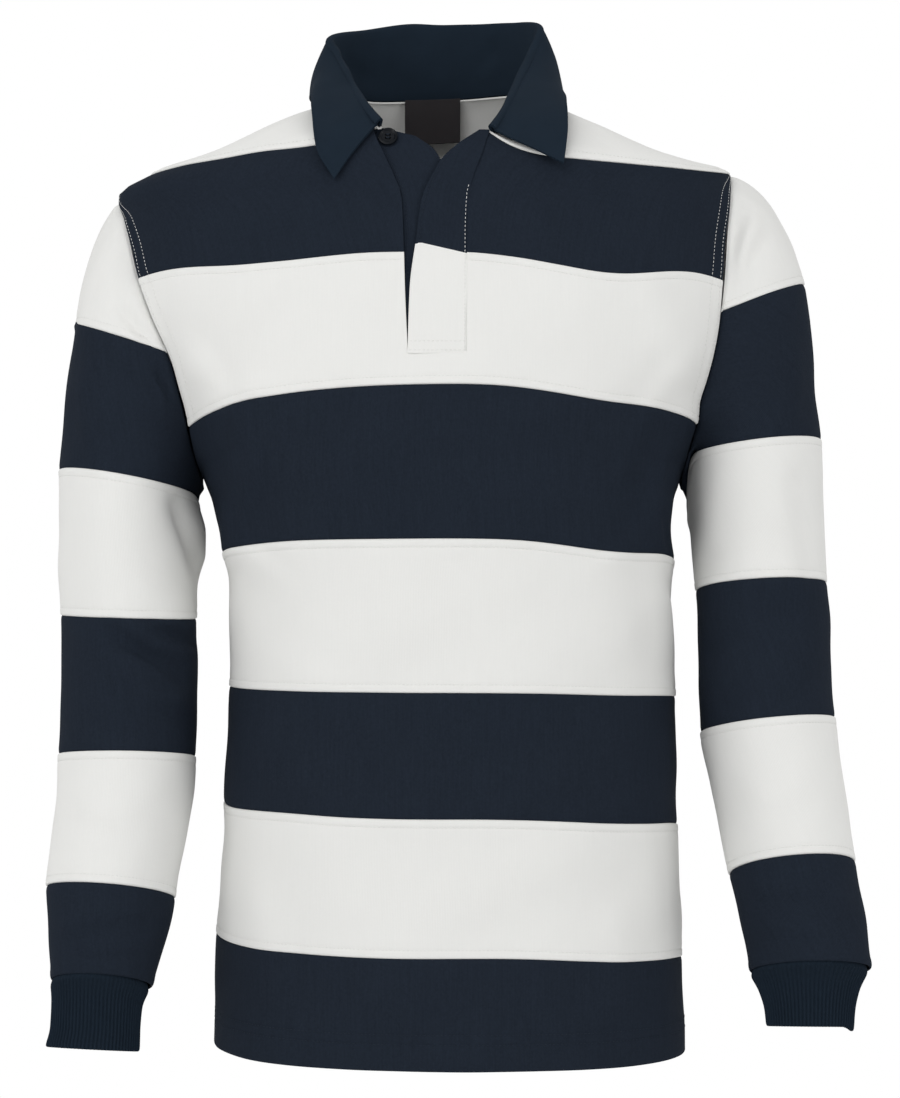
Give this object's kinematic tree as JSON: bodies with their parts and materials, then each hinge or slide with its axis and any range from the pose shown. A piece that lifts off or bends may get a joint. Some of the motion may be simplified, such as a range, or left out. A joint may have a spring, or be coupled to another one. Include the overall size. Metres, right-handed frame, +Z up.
{
  "type": "rugby shirt",
  "caption": "Long-sleeved rugby shirt in broad navy and white bands with a navy twill collar, short placket and ribbed cuffs, filled out as if worn.",
  "frame": {"origin": "base of the neck: midway between the high points of the two shoulders, where they meet the collar", "axes": "+Z up towards the collar, -Y the way the wearer faces, +X towards the wearer's left"},
  "size_m": [0.6025, 0.2548, 0.7951],
  "materials": {
    "navy_jersey": "matt heavy cotton jersey",
    "white_jersey": "matt heavy cotton jersey",
    "navy_twill": "matt brushed cotton twill",
    "navy_rib": "matt ribbed cotton knit",
    "button": "satin moulded",
    "label": "plain woven tape"
  },
  "bodies": {
    "root": {"back_band_2": "navy_jersey", "back_band_3": "white_jersey", "back_band_4": "navy_jersey", "back_band_5": "white_jersey", "back_band_6": "navy_jersey", "back_band_7": "white_jersey", "back_band_8": "navy_jersey", "back_yoke": "white_jersey", "button": "button", "collar": "navy_twill", "cuff_left": "navy_rib", "cuff_right": "navy_rib", "front_band_2_left": "navy_jersey", "front_band_2_right": "navy_jersey", "front_band_3": "white_jersey", "front_band_4": "navy_jersey", "front_band_5": "white_jersey", "front_band_6": "navy_jersey", "front_band_7": "white_jersey", "front_band_8": "navy_jersey", "front_yoke_left": "white_jersey", "front_yoke_right": "white_jersey", "neck_label": "label", "placket_overlap": "navy_jersey", "placket_underlap": "navy_jersey", "sleeve_left_band_2": "navy_jersey", "sleeve_left_band_3": "white_jersey", "sleeve_left_band_4": "navy_jersey", "sleeve_left_band_5": "white_jersey", "sleeve_left_band_6": "navy_jersey", "sleeve_left_cap": "white_jersey", "sleeve_right_band_2": "navy_jersey", "sleeve_right_band_3": "white_jersey", "sleeve_right_band_4": "navy_jersey", "sleeve_right_band_5": "white_jersey", "sleeve_right_band_6": "navy_jersey", "sleeve_right_cap": "white_jersey"}
  },
  "joints": []
}
